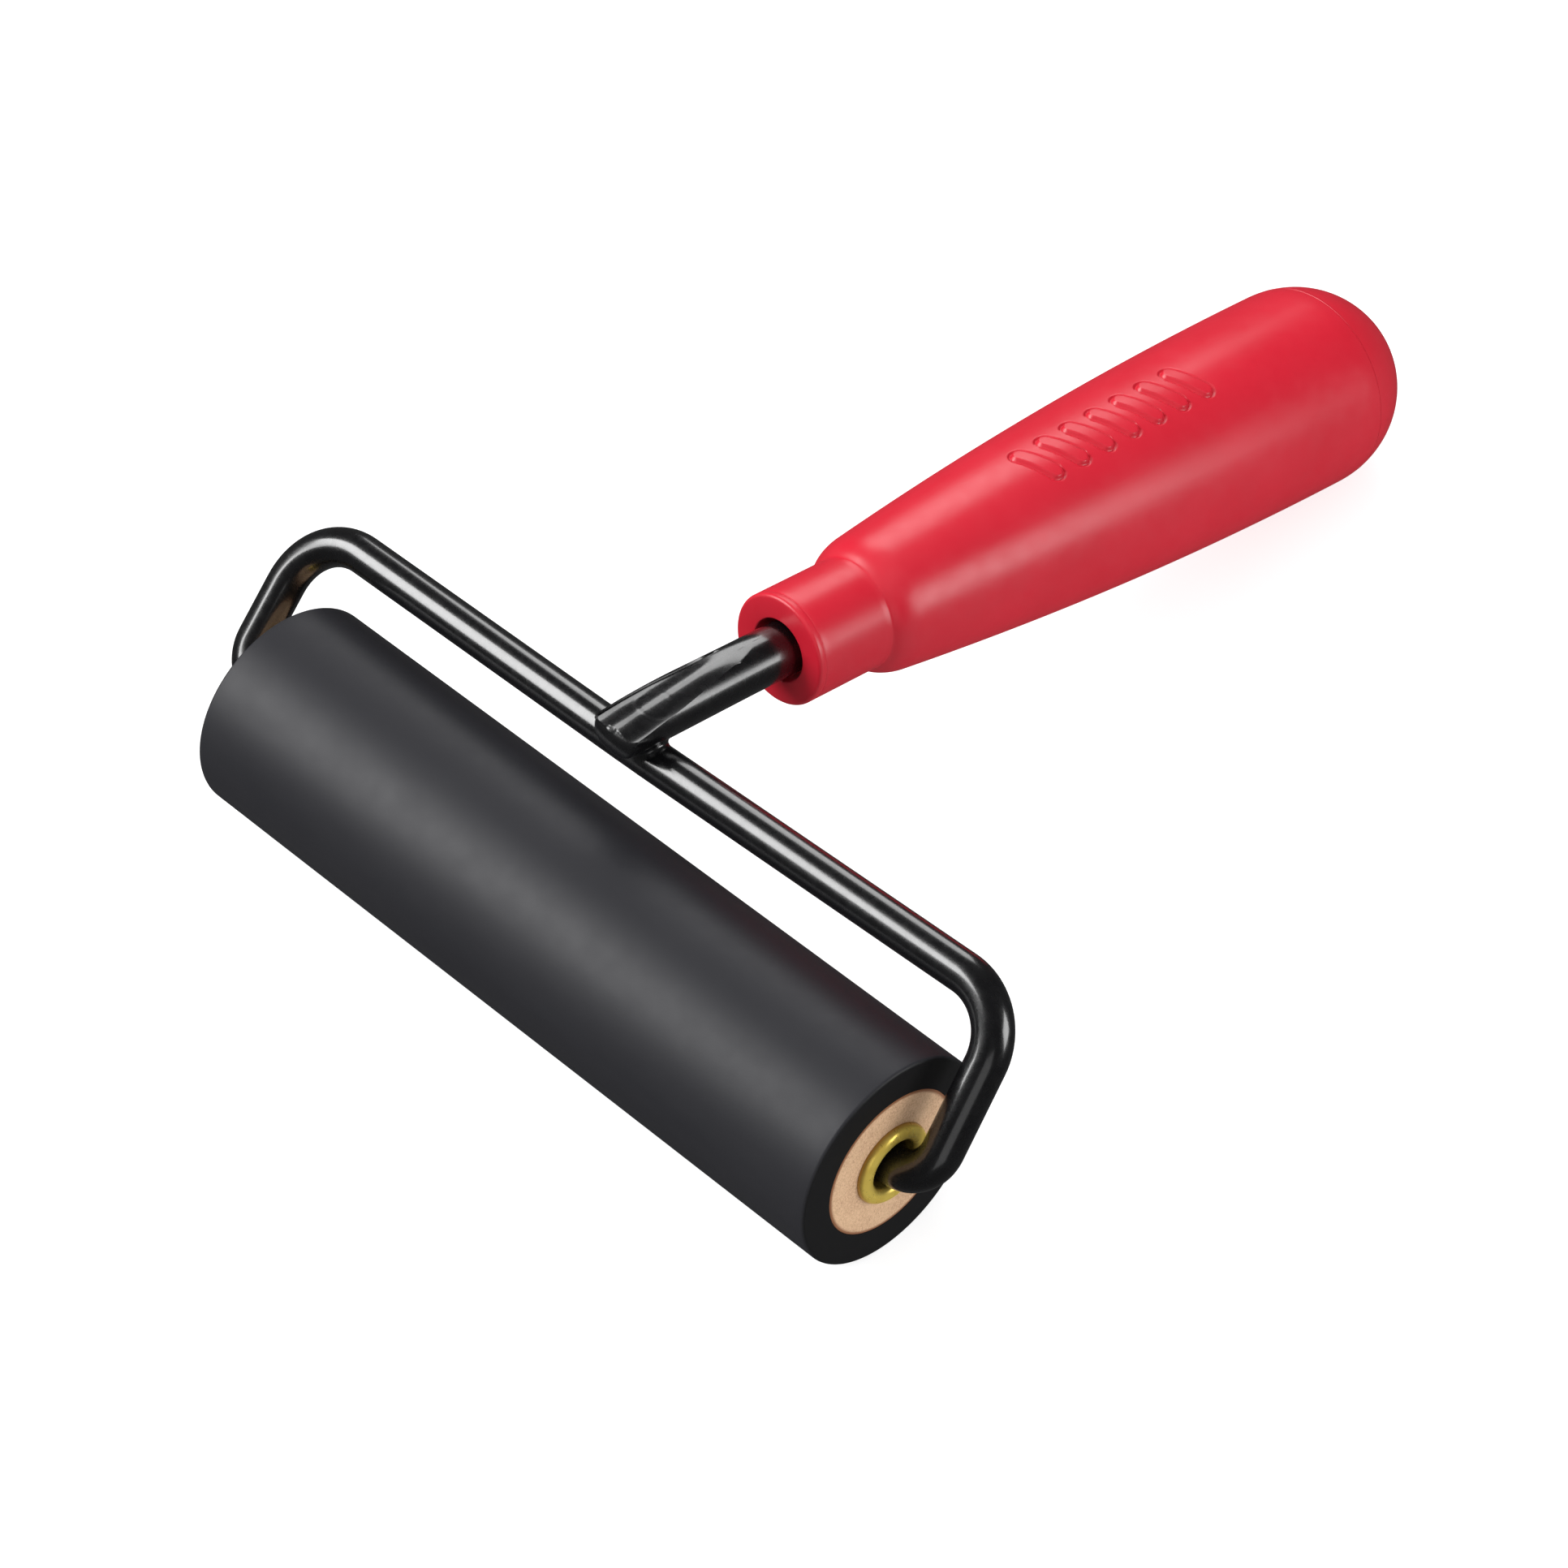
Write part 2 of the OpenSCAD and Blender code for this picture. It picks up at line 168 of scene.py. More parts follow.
def grid_piece(name, points, matrix, sharp, round_u=False):
    """A mesh on a grid of points[u, v], placed by matrix, which closes on itself along v.

    With round_u it closes along u too. Edges that fold by sharp degrees or more look sharp.
    """
    rows, columns = points.shape[:2]
    flat = points.reshape(-1, 3)
    u = np.arange(rows if round_u else rows - 1)
    v = np.arange(columns)
    uu, vv = np.meshgrid(u, v, indexing="ij")
    nu, nv = (uu + 1) % rows, (vv + 1) % columns
    corners = [uu * columns + vv, nu * columns + vv, nu * columns + nv, uu * columns + nv]
    faces = np.stack([c.ravel() for c in corners], axis=1)
    mesh = bpy.data.meshes.new(name)
    mesh.from_pydata([tuple(p) for p in flat], [], [tuple(f) for f in faces.tolist()])
    clean_mesh(mesh, sharp)
    mesh.transform(matrix)
    piece = bpy.data.objects.new(name, mesh)
    bpy.context.scene.collection.objects.link(piece)
    return piece


def clean_mesh(mesh, sharp):
    """Welds doubled points, closes end rings, turns faces outwards and marks sharp edges."""
    same = 0.0005 * MM
    work = bmesh.new()
    work.from_mesh(mesh)
    bmesh.ops.remove_doubles(work, verts=work.verts, dist=same)
    bmesh.ops.dissolve_degenerate(work, dist=same, edges=work.edges)
    rims = [edge for edge in work.edges if edge.is_boundary]
    if rims:
        bmesh.ops.holes_fill(work, edges=rims)
    bmesh.ops.recalc_face_normals(work, faces=work.faces)
    limit = math.radians(sharp)
    for face in work.faces:
        face.smooth = True
    for edge in work.edges:
        edge.smooth = edge.calc_face_angle(0) < limit
    work.to_mesh(mesh)
    work.free()


def turned(name, outline, matrix, segments=192, closed=True):
    """A solid of revolution about local Z. outline is a list of (radius, station)."""
    outline = np.array(outline)
    angle = np.linspace(0, 2 * math.pi, segments, endpoint=False)
    radius, station = outline[:, 0], outline[:, 1]
    points = np.stack([radius[:, None] * np.cos(angle), radius[:, None] * np.sin(angle),
                       np.repeat(station[:, None], segments, axis=1)], axis=-1)
    return grid_piece(name, points, matrix, sharp=35, round_u=closed)


def arc(centre_r, centre_s, radius, start, end, count):
    """Points on an arc of an outline; 0 degrees points away from the axis, 90 along it."""
    return [(centre_r + radius * math.cos(a), centre_s + radius * math.sin(a))
            for a in np.radians(np.linspace(start, end, count))]


def ride_and_replace(piece, body, node, material):
    """Puts a finished piece on its body in place of its CAD node."""
    piece.data.materials.clear()
    piece.data.materials.append(material)
    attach(piece, body)
    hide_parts(node)


# ----------------------------------------------------------------------- node materials

class Material:
    """A Principled material with short calls for the nodes that the surfaces need."""

    def __init__(self, name, **settings):
        self.material = bpy.data.materials.new(name)
        self.material.use_nodes = True
        self.tree = self.material.node_tree
        self.shader = self.tree.nodes["Principled BSDF"]
        self.place = self.add("ShaderNodeTexCoord").outputs["Object"]
        for key, value in settings.items():
            self.shader.inputs[key.replace("_", " ")].default_value = value

    def add(self, kind, **values):
        """A node with its properties set from keywords."""
        node = self.tree.nodes.new(kind)
        for key, value in values.items():
            setattr(node, key, value)
        return node

    def link(self, source, target):
        """Joins an output socket to an input socket."""
        self.tree.links.new(source, target)

    def stretched(self, scale):
        """Object coordinates scaled by a factor along each axis."""
        node = self.add("ShaderNodeMapping")
        node.inputs["Scale"].default_value = scale
        self.link(self.place, node.inputs["Vector"])
        return node.outputs["Vector"]

    def noise(self, size, detail=2.0, rough=0.5, source=None):
        """Noise with features about size metres across."""
        node = self.add("ShaderNodeTexNoise")
        node.inputs["Scale"].default_value = 1 / size
        node.inputs["Detail"].default_value = detail
        node.inputs["Roughness"].default_value = rough
        self.link(source or self.place, node.inputs["Vector"])
        return node.outputs["Fac"]

    def spread(self, value, low, high, to_low=0.0, to_high=1.0):
        """value from low..high mapped to to_low..to_high and held there."""
        node = self.add("ShaderNodeMapRange")
        for key, number in zip(("From Min", "From Max", "To Min", "To Max"),
                               (low, high, to_low, to_high)):
            node.inputs[key].default_value = number
        self.link(value, node.inputs["Value"])
        return node.outputs["Result"]

    def mix(self, factor, first, second):
        """A colour between two colours; each may be a socket or an RGB tuple."""
        node = self.add("ShaderNodeMix", data_type="RGBA")
        self.link(factor, node.inputs["Factor"])
        for key, colour in ((6, first), (7, second)):
            if isinstance(colour, tuple):
                node.inputs[key].default_value = (*colour, 1.0)
            else:
                self.link(colour, node.inputs[key])
        return node.outputs[2]

    def end_face(self, middle, half):
        """1 on the roller's two end faces and 0 between them."""
        here = self.add("ShaderNodeSeparateXYZ")
        self.link(self.place, here.inputs["Vector"])
        centred = self.add("ShaderNodeMath", operation="SUBTRACT")
        self.link(here.outputs["X"], centred.inputs[0])
        centred.inputs[1].default_value = middle.x
        distance = self.add("ShaderNodeMath", operation="ABSOLUTE")
        self.link(centred.outputs["Value"], distance.inputs[0])
        return self.spread(distance.outputs["Value"], half, half + 0.2 * MM)

    def from_axle(self):
        """Distance from the axle's line."""
        flat = self.add("ShaderNodeVectorMath", operation="MULTIPLY_ADD")
        self.link(self.place, flat.inputs[0])
        flat.inputs[1].default_value = (0, 1, 1)
        flat.inputs[2].default_value = -axle
        length = self.add("ShaderNodeVectorMath", operation="LENGTH")
        self.link(flat.outputs["Vector"], length.inputs[0])
        return length.outputs["Value"]

    def colour(self, socket):
        """Makes a socket the surface's colour."""
        self.link(socket, self.shader.inputs["Base Color"])

    def roughness(self, socket):
        """Makes a socket the surface's roughness."""
        self.link(socket, self.shader.inputs["Roughness"])

    def bump(self, height, depth, strength=0.5):
        """Makes a socket the surface's fine relief, about depth metres deep."""
        node = self.add("ShaderNodeBump")
        node.inputs["Strength"].default_value = strength
        node.inputs["Distance"].default_value = depth
        self.link(height, node.inputs["Height"])
        self.link(node.outputs["Normal"], self.shader.inputs["Normal"])


def make_rubber():
    """Ground grey rubber with a fine grain, and painted shade darkening its two end faces."""
    m = Material("rubber_cover", Specular_IOR_Level=0.38)
    around = m.stretched((0.25, 1, 1))
    tone = m.spread(m.noise(9 * MM, 3, source=around), 0.3, 0.7)
    skin = m.mix(tone, (0.0150, 0.0150, 0.0182), (0.0175, 0.0175, 0.0208))
    # painted shade: the two end faces are coloured darker, standing in for the lower light that falls on them
    end_face_shade = m.end_face(roller_axes.translation, ROLLER_HALF - 0.25 * MM)
    m.colour(m.mix(end_face_shade, skin, (0.007, 0.007, 0.0075)))
    m.roughness(m.spread(m.noise(4 * MM, 4), 0.3, 0.7, 0.50, 0.54))
    m.bump(m.noise(0.35 * MM, 3, 0.6), 0.02 * MM)
    return m.material


def make_wood():
    """Pale end grain: fibres, small pores, a soft change of tone and a scorched edge."""
    m = Material("core_wood", Roughness=0.75, Specular_IOR_Level=0.3)
    tone = m.spread(m.noise(4 * MM, 3, 0.6), 0.35, 0.65)
    base = m.mix(tone, (0.46, 0.275, 0.160), (0.57, 0.365, 0.215))
    fibre = m.spread(m.noise(0.30 * MM, 3, 0.7), 0.35, 0.65)
    base = m.mix(fibre, base, (0.70, 0.47, 0.29))
    pores = m.spread(m.noise(0.22 * MM, 2, 0.8, source=m.stretched((1, 1, 0.5))), 0.28, 0.42)
    grain = m.mix(pores, (0.33, 0.17, 0.10), base)
    border = m.spread(m.from_axle(), CORE_R - 0.8 * MM, CORE_R - 0.35 * MM)
    m.colour(m.mix(border, grain, (0.24, 0.10, 0.045)))
    m.bump(m.noise(0.3 * MM, 4, 0.7), 0.05 * MM, 0.7)
    return m.material


def make_brass():
    """Drawn brass with slight tarnish, with painted shade darkening the bore and a ring round the rim's outer
    edge.
    """
    m = Material("eyelet_brass", Metallic=0.55)
    tarnish = m.spread(m.noise(2.5 * MM, 1), 0.4, 0.7)
    brass_tone = m.mix(tarnish, (1.0, 0.75, 0.15), (0.92, 0.66, 0.12))
    away = m.from_axle()
    # painted shade: the brass is coloured near-black inside the bore's mouth, standing in for the shade in the
    # hole
    mouth = m.spread(away, MOUTH_R - 0.3 * MM, MOUTH_R + 1.0 * MM)
    # painted shade: a darker ring round the rim's outer edge, standing in for the shade where the rim meets the
    # core
    crease_shade = m.spread(away, RIM_OUTER_R - 0.45 * MM, RIM_OUTER_R)
    rim = m.mix(mouth, (0.06, 0.032, 0.006), brass_tone)
    m.colour(m.mix(crease_shade, rim, (0.30, 0.16, 0.03)))
    m.roughness(m.spread(m.noise(1.5 * MM, 1), 0.3, 0.7, 0.26, 0.32))
    m.bump(m.noise(2.4 * MM, 0.5), 0.008 * MM)
    return m.material


def make_enamel():
    """Gloss black enamel with orange peel."""
    m = Material("black_enamel", Specular_IOR_Level=0.6, Coat_Weight=1.0, Coat_Roughness=0.14)
    tone = m.spread(m.noise(6 * MM, 3), 0.35, 0.65)
    m.colour(m.mix(tone, (0.002, 0.002, 0.0024), (0.0035, 0.0035, 0.004)))
    m.roughness(m.spread(m.noise(1.5 * MM, 1), 0.3, 0.7, 0.24, 0.30))
    m.bump(m.noise(2.6 * MM, 0.5), 0.008 * MM)
    return m.material


def make_red_plastic():
    """Satin moulded plastic with a very fine grain."""
    m = Material("red_plastic", Specular_IOR_Level=0.5)
    tone = m.spread(m.noise(14 * MM, 2), 0.3, 0.7)
    m.colour(m.mix(tone, (0.520, 0.0118, 0.027), (0.545, 0.0133, 0.030)))
    m.roughness(m.spread(m.noise(3 * MM, 3), 0.3, 0.7, 0.30, 0.37))
    m.bump(m.noise(0.5 * MM, 2), 0.004 * MM)
    return m.material


def make_light_table():
    """White frosted glass, lit from below."""
    m = Material("light_table", Roughness=0.9, Specular_IOR_Level=0.0, Emission_Strength=0.80,
                 Emission_Color=(1, 1, 1, 1))
    tone = m.spread(m.noise(0.4, 2), 0.3, 0.7)
    m.colour(m.mix(tone, (0.36, 0.36, 0.36), (0.38, 0.38, 0.38)))
    return m.material


rubber = make_rubber()
wood = make_wood()
brass = make_brass()
enamel = make_enamel()
red_plastic = make_red_plastic()


# ---------------------------------------------------------------------------- the roller

COVER_EDGE = 0.6 * MM
CORE_EDGE = 0.2 * MM
STUB_ROOM = 4 * MM  # how much deeper the core's hole is than the stub in it


def build_cover():
    """The rubber sleeve, from one flat end over its length to the other."""
    edge, half = COVER_EDGE, ROLLER_HALF
    inside = CORE_R + FILM
    face = [inside + (COVER_R - edge - inside) * t for t in (0, 0.3, 0.7)]
    outline = (
        [(r, -half) for r in face]
        + arc(COVER_R - edge, -half + edge, edge, -90, 0, 9)
        + [(COVER_R, s) for s in np.linspace(-half + 2 * MM, half - 2 * MM, 40)]
        + arc(COVER_R - edge, half - edge, edge, 0, 90, 9)
        + [(r, half) for r in face[::-1]]
    )
    cover = turned("roller_cover_rubber", outline, roller_axes)
    ride_and_replace(cover, ROLLER_BODY, "roller_cover", rubber)


def flare(depth):
    """Inside radius of an eyelet at a depth below the core's face."""
    opening = (1 + math.cos(math.pi * depth / EYELET_FLARE)) / 2
    return BEARING_R + (MOUTH_R - BEARING_R) * opening


def build_core():
    """The wooden core, with a hole in each end for an eyelet and a stub."""
    wall = EYELET_WALL + FILM
    hole_end = STUB_START - STUB_ROOM
    seat = [(flare(depth) + wall, ROLLER_HALF - depth)
            for depth in np.linspace(EYELET_FLARE, 0, 9)]
    half = ([(0, hole_end), (BEARING_R + wall, hole_end)] + seat
            + arc(CORE_R - CORE_EDGE, ROLLER_HALF - CORE_EDGE, CORE_EDGE, 90, 0, 4))
    mirrored = [(r, -s) for r, s in half[::-1]]
    core = turned("roller_core_wood", half + mirrored, roller_axes, closed=False)
    ride_and_replace(core, ROLLER_BODY, "roller_core", wood)


def build_eyelet(side, node):
    """A brass tube with a flared mouth and a rolled rim; side is the roller's end, -1 or 1."""
    inside = [(flare(depth), -depth) for depth in np.linspace(0, EYELET_FLARE, 13)]
    outside = [(r + EYELET_WALL, s) for r, s in inside]
    outline = (
        [(BEARING_R, -EYELET_BARREL)] + inside[::-1]
        + arc(RIM_OUTER_R - RIM_R, FILM, RIM_R, 172, 0, 28)
        + [(MOUTH_R + EYELET_WALL, FILM)] + outside
        + [(BEARING_R + EYELET_WALL, -EYELET_BARREL)]
    )
    face = Vector((cover_high.x if side > 0 else cover_low.x, axle.y, axle.z))
    place = axis_frame(face, ALONG_ROLLER * side, UP)
    eyelet = turned(node + "_brass", outline, place, segments=128)
    ride_and_replace(eyelet, ROLLER_BODY, node, brass)


build_cover()
build_core()
build_eyelet(-1, "eyelet_left")
build_eyelet(1, "eyelet_right")


# ------------------------------------------------------------------------- the bent frame

LEG_FOOT = 86.5 * MM
LEG_TOP = 85.2 * MM
CROSSBAR_SKEW = 1.3 * MM
CORNER_RADIUS_RIGHT, CORNER_RADIUS_LEFT = 11.1 * MM, 13.5 * MM
FOOT_RADIUS = 6.7 * MM
ROD_EDGE = 0.5 * MM
PATH_STEP = 4 * MM
MIRROR = Vector((-1, 1, 1))


class RodPath:
    """A rod's centre line, built by runs and bends, as rows of place, heading and side."""

    def __init__(self, start):
        self.here = Vector(start)
        self.ahead = Vector((1, 0, 0))
        self.side = Vector((0, 0, 1))
        self.rows = []
        self.note()

    def note(self):
        """Keeps the row for where the line has got to."""
        self.rows.append((self.here.copy(), self.ahead.copy(), self.side.copy()))

    def run(self, length):
        """Goes straight ahead."""
        count = max(1, round(length / PATH_STEP))
        for _ in range(count):
            self.here += self.ahead * (length / count)
            self.note()

    def roll(self, angle):
        """Turns the plane of the next bend about the heading."""
        self.side.rotate(Quaternion(self.ahead, angle))

    def bend(self, radius, angle, count=24):
        """Follows an arc about an axis along the side vector."""
        centre = self.here + self.side.cross(self.ahead) * radius
        arm = self.here - centre
        turn = Quaternion(self.side, angle / count)
        for _ in range(count):
            arm.rotate(turn)
            self.ahead.rotate(turn)
            self.here = centre + arm
            self.note()


def half_frame(rise, corner_radius):
    """Centre line from a stub to the crossbar; rise lifts the corner above its middle."""
    lean = math.atan2(LEG_FOOT - LEG_TOP, LEG_HEIGHT + rise)
    reach = Vector((LEG_TOP, rise, CROSSBAR_BOW)).length
    foot_bend = math.pi / 2 + lean
    corner_bend = math.acos((LEG_TOP * math.sin(lean) - rise * math.cos(lean)) / reach)
    foot_tangent = FOOT_RADIUS * math.tan(foot_bend / 2)
    corner_tangent = corner_radius * math.tan(corner_bend / 2)
    path = RodPath((STUB_START, 0, 0))
    path.run(LEG_FOOT - foot_tangent - STUB_START)
    path.bend(FOOT_RADIUS, foot_bend)
    path.run(math.hypot(LEG_FOOT - LEG_TOP, LEG_HEIGHT + rise) - foot_tangent - corner_tangent)
    across = LEG_TOP * math.cos(lean) + rise * math.sin(lean)
    path.roll(math.atan2(CROSSBAR_BOW, across))
    path.bend(corner_radius, corner_bend)
    path.run(reach - corner_tangent - PATH_STEP)
    return path.rows


def build_yoke():
    """One rod swept from the right stub, along the crossbar, to the left stub."""
    right = half_frame(CROSSBAR_SKEW, CORNER_RADIUS_RIGHT)
    left = half_frame(-CROSSBAR_SKEW, CORNER_RADIUS_LEFT)
    path = right + [(p * MIRROR, t * MIRROR * -1, s * MIRROR) for p, t, s in reversed(left)]
    tips = (1.0, 0.66, 0.33, 0.0)
    first = [end_ring(path[0], t, -1) for t in tips]
    rings = [rod_ring(row, ROD_R) for row in path[1:-1]]
    last = [end_ring(path[-1], t, 1) for t in tips[::-1]]
    turn = Matrix((ALONG_ROLLER, leg_axis, leg_normal)).transposed().to_4x4()
    place = Matrix.Translation(axle) @ turn
    yoke = grid_piece("yoke_frame_rod", np.array(first + rings + last), place, sharp=40)
    ride_and_replace(yoke, FRAME_BODY, "yoke_frame", enamel)


def rod_ring(row, radius):
    """A ring of points round the rod's centre line."""
    here, ahead, side = row
    across = side.cross(ahead)
    return [tuple(here + (side * math.cos(a) + across * math.sin(a)) * radius)
            for a in np.linspace(0, 2 * math.pi, 64, endpoint=False)]


def end_ring(row, t, way):
    """A ring of the rounded edge at the rod's end; t goes from 0 on its side to 1 on its face."""
    here, ahead, side = row
    turn = math.pi / 2 * t
    shifted = (here - ahead * way * ROD_EDGE * (1 - math.sin(turn)), ahead, side)
    return rod_ring(shifted, ROD_R - ROD_EDGE * (1 - math.cos(turn)))


build_yoke()


# ------------------------------------------------------------------------------ the shank

# the flat: where it starts, its height at the nose, and the crest along its middle
FLAT_START = 23.4 * MM
FLAT_HEIGHT = 0.5 * MM
FLAT_SLOPE = (SHANK_R - FLAT_HEIGHT) / (FLAT_START - NOSE_S)
PRESS_FADE = 12 * MM
CREST = 0.40 * MM
# where across the flat each fall starts, how wide it is and how far it drops
LEFT_FALL = (0.2 * MM, 3.5 * MM, 0.68 * MM)
RIGHT_FALL = (0.2 * MM, 3.7 * MM, 0.85 * MM)
SOFT_LEFT, SOFT_RIGHT = 0.5 * MM, 0.1 * MM
# where a level is past this share of the radius, the bar is as good as round
ROUND_SINE = 0.87
# the ring that the electrode's edge marks in the flat
MARK_S, MARK_R, MARK_DEPTH, MARK_WIDTH = 1.7 * MM, 2.9 * MM, 0.022 * MM, 0.7 * MM
# the bulging nose, its burr, and how much wider the pressing made the bar
NOSE_EDGE, NOSE_EDGE_FADE = 0.7 * MM, 2 * MM
NOSE_CENTRE = -1.8 * MM
NOSE_CURVE, NOSE_CURVE_ACROSS = 0.11 / MM, 0.02 / MM
BULGE_FADE = 7 * MM
BURR_LONG, BURR_HIGH = 0.8 * MM, 0.3 * MM
SPREAD_NOSE, SPREAD_BAR, SPREAD_LENGTH = 0.05, 0.015, 25 * MM


def flat_level(x, s):
    """Height of the pressed flat above the shank's axis: its falls, and the electrode's mark."""
    pressed = smooth_step((FLAT_START - s) / PRESS_FADE)
    level = FLAT_HEIGHT + (s - NOSE_S) * FLAT_SLOPE + CREST * pressed
    for way, (start, wide, drop) in ((1, LEFT_FALL), (-1, RIGHT_FALL)):
        level = level - drop * pressed * smooth_step((x * way - start) / wide)
    away = np.hypot(x, s - MARK_S)
    ring = smooth_step(1 - np.abs(away - MARK_R) / MARK_WIDTH)
    return level - MARK_DEPTH * ring


def shank_section(s, sides=96):
    """Points round the shank at station s: the pressed flat first, then the round underneath."""
    corner = math.asin(min(max(flat_level(0.0, s) / SHANK_R, 0), ROUND_SINE))
    x = SHANK_R * math.cos(corner) * np.linspace(1, -1, sides, endpoint=False)
    arch = np.sqrt(np.maximum(SHANK_R ** 2 - x ** 2, 0))
    soft = np.where(x > 0, SOFT_LEFT, SOFT_RIGHT)
    top = -soft_max(-arch, -flat_level(x, s), soft)
    under = np.linspace(math.pi - corner, 2 * math.pi + corner, sides, endpoint=False)
    around_x = np.concatenate([x, SHANK_R * np.cos(under)])
    around_y = np.concatenate([top, SHANK_R * np.sin(under)])
    return around_x, around_y


def ragged(x):
    """How far the burr on the nose's upper edge sticks out at x; the same each run."""
    waves = noise.noise(Vector((x / (1.6 * MM), 3.7, 0)))
    nicks = noise.noise(Vector((x / (0.6 * MM), 8.1, 0)))
    return 0.18 * MM * waves + 0.03 * MM * nicks


def nose_ring(x, y, size, back):
    """The nose's outline x, y drawn smaller by size, with its round half set back."""
    return x * size, NOSE_CENTRE + (y - NOSE_CENTRE) * size, NOSE_S + back * (y < 0)


def nose_rings():
    """Rings from the middle of the nose's face to the start of its rounded edge."""
    x, y = shank_section(NOSE_S)
    face = [nose_ring(x, y, size, 0) for size in (0.0, 0.15, 0.3, 0.45, 0.6, 0.7, 0.8)]
    edge = [nose_ring(x, y, 1 - NOSE_EDGE * (1 - math.sin(a)) / SHANK_R,
                      NOSE_EDGE * (1 - math.cos(a)))
            for a in np.radians(np.linspace(0, 90, 7)[:-1])]
    return face + edge


def bar_rings():
    """Rings along the bar, close together where it is pressed."""
    pressed_s = np.arange(NOSE_S, FLAT_START + 2 * MM, 0.2 * MM)
    round_s = np.linspace(FLAT_START + 3 * MM, TANG_S, 40)
    rings = []
    for s in np.concatenate([pressed_s, round_s]):
        x, y = shank_section(s)
        back = NOSE_EDGE * (y < 0) * max(0, 1 - (s - NOSE_S) / NOSE_EDGE_FADE)
        rings.append((x, y, s + back))
    return rings


def build_shank():
    """A round bar with a bulging nose, and a flat pressed in it by the welding electrode."""
    rings = nose_rings() + bar_rings()
    points = np.array([np.stack(np.broadcast_arrays(*ring), axis=-1) for ring in rings])
    x, y, s = (points[..., i].copy() for i in range(3))
    bulge = NOSE_CURVE * (y - NOSE_CENTRE) ** 2 + NOSE_CURVE_ACROSS * x ** 2
    near_nose = smooth_step(1 - (s - NOSE_S) / BULGE_FADE)
    burr = np.array([ragged(value) for value in x.ravel()]).reshape(x.shape)
    at_edge = smooth_step(1 - (s - NOSE_S) / BURR_LONG) * smooth_step(y / BURR_HIGH)
    points[..., 2] += bulge * near_nose + burr * at_edge
    near_bar = smooth_step(1 - points[..., 2] / SPREAD_LENGTH)
    points[..., 0] *= 1 + SPREAD_BAR + SPREAD_NOSE * near_bar
    shank = grid_piece("shank_bar", points, handle_axes, sharp=50)
    ride_and_replace(shank, FRAME_BODY, "shank", enamel)


build_shank()


# ------------------------------------------------------------------------------- the weld

BOW_RATIO = CROSSBAR_BOW / LEG_TOP
WELD_CENTRE = (0.0, -SHANK_R + 0.4 * MM, 0.0)
WELD_BLEND = 2.4 * MM
WELD_INSET = 0.04 * MM
WELD_REACH = 6.5 * MM
WELD_CROWN = 0.9 * MM  # the lump stays below this height, under the flat


def rods_distance(points):
    """Distance to the shank and the crossbar, melted together where they meet."""
    bar = np.hypot(points[..., 0], points[..., 1]) - SHANK_R
    back = np.array(handle_axes.inverted().to_3x3() @ leg_normal)
    rod_centre = np.array(crossbar_local) - np.abs(points[..., :1]) * BOW_RATIO * back
    offset = points - rod_centre
    rod = np.hypot(offset[..., 1], offset[..., 2]) - ROD_R
    return -soft_max(-rod, -bar, WELD_BLEND)


def build_weld():
    """The weld's lump: what shows of it is the fillet in the corner between the two rods.

    It is a ball of rays from inside the two rods, each as long as the melted shape allows.
    """
    centre = np.array(WELD_CENTRE)
    turn = np.linspace(0, 2 * math.pi, 160, endpoint=False)
    tilt = np.linspace(-math.pi / 2, math.pi / 2, 81)
    tt, pp = np.meshgrid(tilt, turn, indexing="ij")
    ray = np.stack([np.cos(tt) * np.cos(pp), np.sin(tt), np.cos(tt) * np.sin(pp)], axis=-1)
    low = np.zeros(tt.shape)
    high = np.minimum(WELD_REACH, (WELD_CROWN - centre[1]) / np.maximum(np.sin(tt), 0.01))
    for _ in range(24):
        middle = (low + high) / 2
        outside = rods_distance(centre + ray * middle[..., None]) + WELD_INSET > 0
        high = np.where(outside, middle, high)
        low = np.where(outside, low, middle)
    weld = grid_piece("weld_fillet", centre + ray * low[..., None], handle_axes, sharp=60)
    ride_and_replace(weld, FRAME_BODY, "weld_flash", enamel)


build_weld()


# ----------------------------------------------------------------------------- the handle

SHOULDER_R = 12.25 * MM
SHOULDER_END = SHOULDER_S + 4.7 * MM
ROOT_S = SHOULDER_S - 1.0 * MM
ROOT_SOFT = 0.2
RIM_EDGE = 0.7 * MM
SOCKET_R = SHANK_R + FILM
LIP_R, LIP_DEEP, LIP_EDGE = 5.85 * MM, 4 * MM, 0.3 * MM
PARTING_S, PARTING_WIDE, PARTING_DEEP = COLLAR_S + 1.3 * MM, 0.5 * MM, 0.07 * MM
SEAM_GAP = 0.04 * MM
SEAM_INSET, SEAM_INSET_LONG = 0.16 * MM, 0.12 * MM
SPIGOT_R, SPIGOT_LONG = GRIP_R - 4 * MM, 6 * MM
BAR_COUNT, BAR_PITCH, BAR_LONG, BAR_WIDE = 7, 6.4 * MM, 9.6 * MM, 2.6 * MM
BAR_SLANT = math.radians(24)
BAR_RELIEF, BAR_FLANK = 0.42 * MM, 0.35 * MM
LINE_DEPTH, LINE_AWAY, LINE_HALF = 0.30 * MM, 0.45 * MM, 0.4 * MM
MOTIF_S = SHOULDER_S + 60 * MM
MOTIF_HALF = 27 * MM
MOTIF_TURN = math.radians(9)


